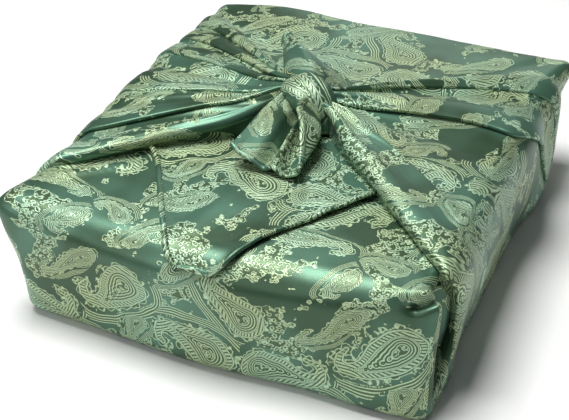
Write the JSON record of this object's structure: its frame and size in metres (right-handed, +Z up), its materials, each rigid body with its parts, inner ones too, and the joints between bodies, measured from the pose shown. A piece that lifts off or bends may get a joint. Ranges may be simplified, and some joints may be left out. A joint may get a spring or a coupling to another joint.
{
  "type": "furoshiki wrap",
  "caption": "Square satin cloth wrapped round a flat rectangular parcel, its side corners gathered over the top and tied in a knot with two free tails.",
  "frame": {"origin": "middle of the flat face that the parcel rests on", "axes": "+Z up; -Y towards the side that the folded-over corner points to; +X to the right seen from there"},
  "size_m": [0.3353, 0.3963, 0.1379],
  "materials": {
    "cloth": "green satin jacquard with a woven paisley pattern"
  },
  "bodies": {
    "root": {"wrap_cloth": "cloth"}
  },
  "joints": []
}
